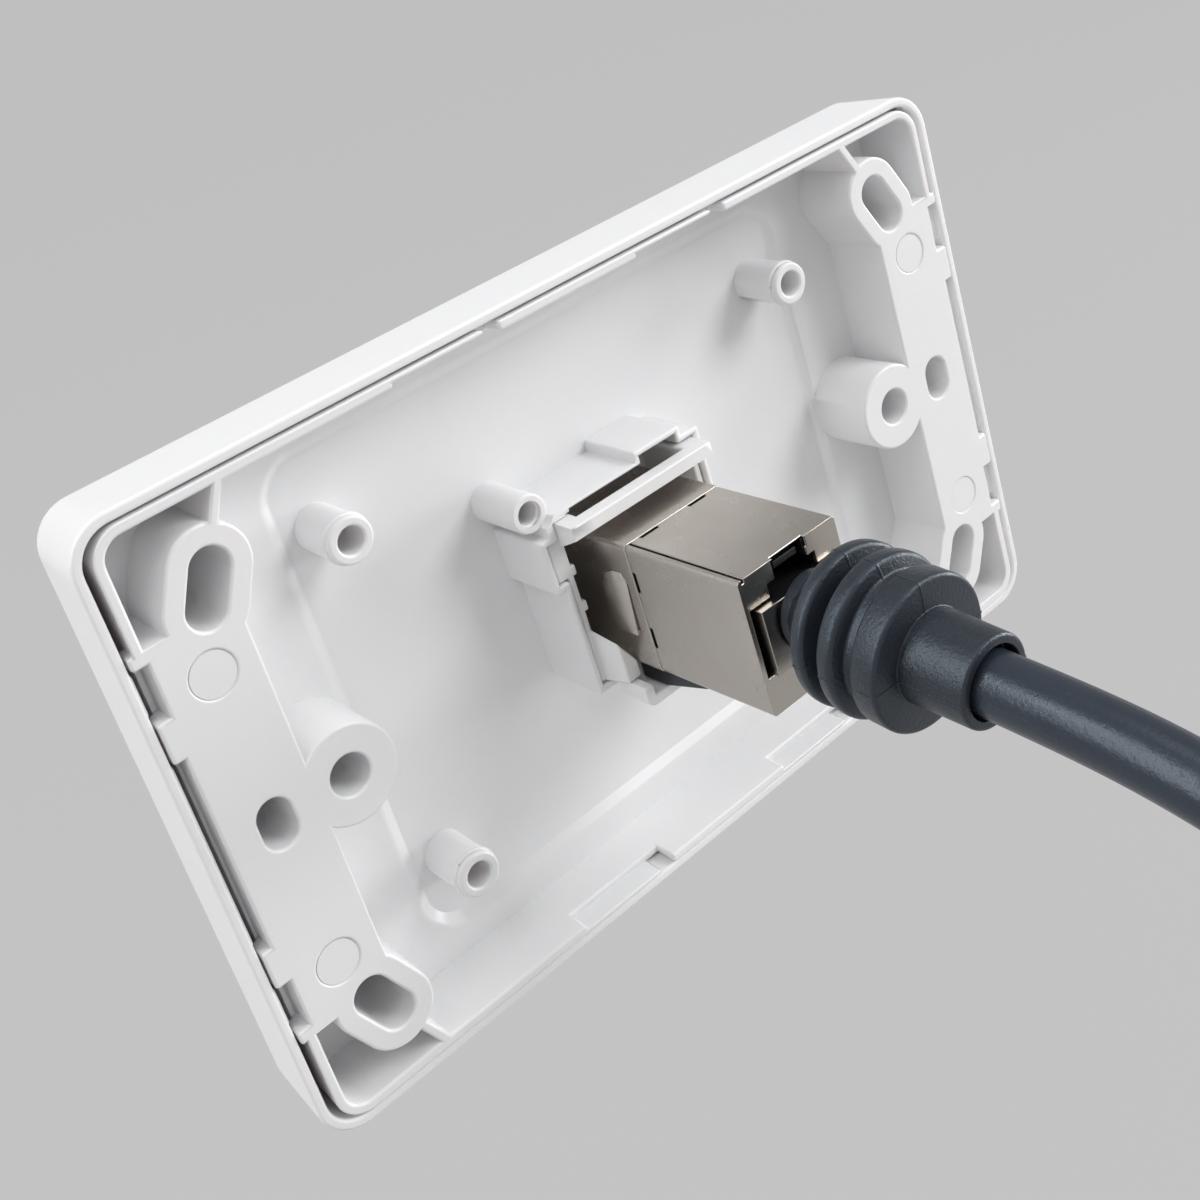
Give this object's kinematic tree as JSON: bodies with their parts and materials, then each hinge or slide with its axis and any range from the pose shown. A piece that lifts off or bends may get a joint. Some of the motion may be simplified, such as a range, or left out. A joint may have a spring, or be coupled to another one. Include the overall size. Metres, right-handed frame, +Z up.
{
  "type": "modular wall plate",
  "caption": "Clip-on cover and moulded frame of a modular wall plate, with a shielded RJ45 coupler in its keystone housing and a booted patch lead plugged in behind.",
  "frame": {"origin": "midway between the two round fixing holes, on the frame's rear faces that bear on the wall", "axes": "+X along the plate's long side, +Z up, +Y out of the back into the wall, -Y towards the room"},
  "size_m": [0.1172, 0.1347, 0.2296],
  "materials": {
    "white_cover": "moulded, fine satin",
    "white_frame": "moulded, semi-gloss",
    "nickel": "satin nickel plating",
    "black_plastic": "moulded, matte",
    "board": "solder mask",
    "gold": "gold plating",
    "clear_plastic": "moulded, clear",
    "boot_plastic": "soft moulded, satin",
    "cable_jacket": "extruded jacket, satin",
    "strap": "hook and loop strap"
  },
  "bodies": {
    "plate": {"base_frame": "white_frame", "keystone_insert": "white_frame", "coupler_front_shell": "nickel", "coupler_rear_shell": "nickel", "front_port_block": "black_plastic", "rear_port_block": "black_plastic", "contact_board": "board", "front_contacts": "gold", "rear_contacts": "gold", "coupler_latch": "black_plastic"},
    "cover": {"cover_plate": "white_cover"},
    "lead": {"plug_body": "black_plastic", "plug_shield": "nickel", "plug_contacts": "gold", "plug_wire_guide": "clear_plastic", "plug_boot": "boot_plastic", "cable": "cable_jacket", "cable_coil": "cable_jacket", "cable_tail": "cable_jacket", "coil_tie": "strap", "far_plug_body": "black_plastic", "far_plug_shield": "nickel", "far_plug_contacts": "gold", "far_wire_guide": "clear_plastic", "far_boot": "boot_plastic"}
  },
  "joints": [
    {"name": "cover_release", "type": "slide", "parent": "plate", "child": "cover", "axis": [0, -1, 0], "range_m": [0, 0.014]},
    {"name": "plug_withdraw", "type": "slide", "parent": "plate", "child": "lead", "axis": [0, 1, 0], "range_m": [0, 0.016]}
  ]
}
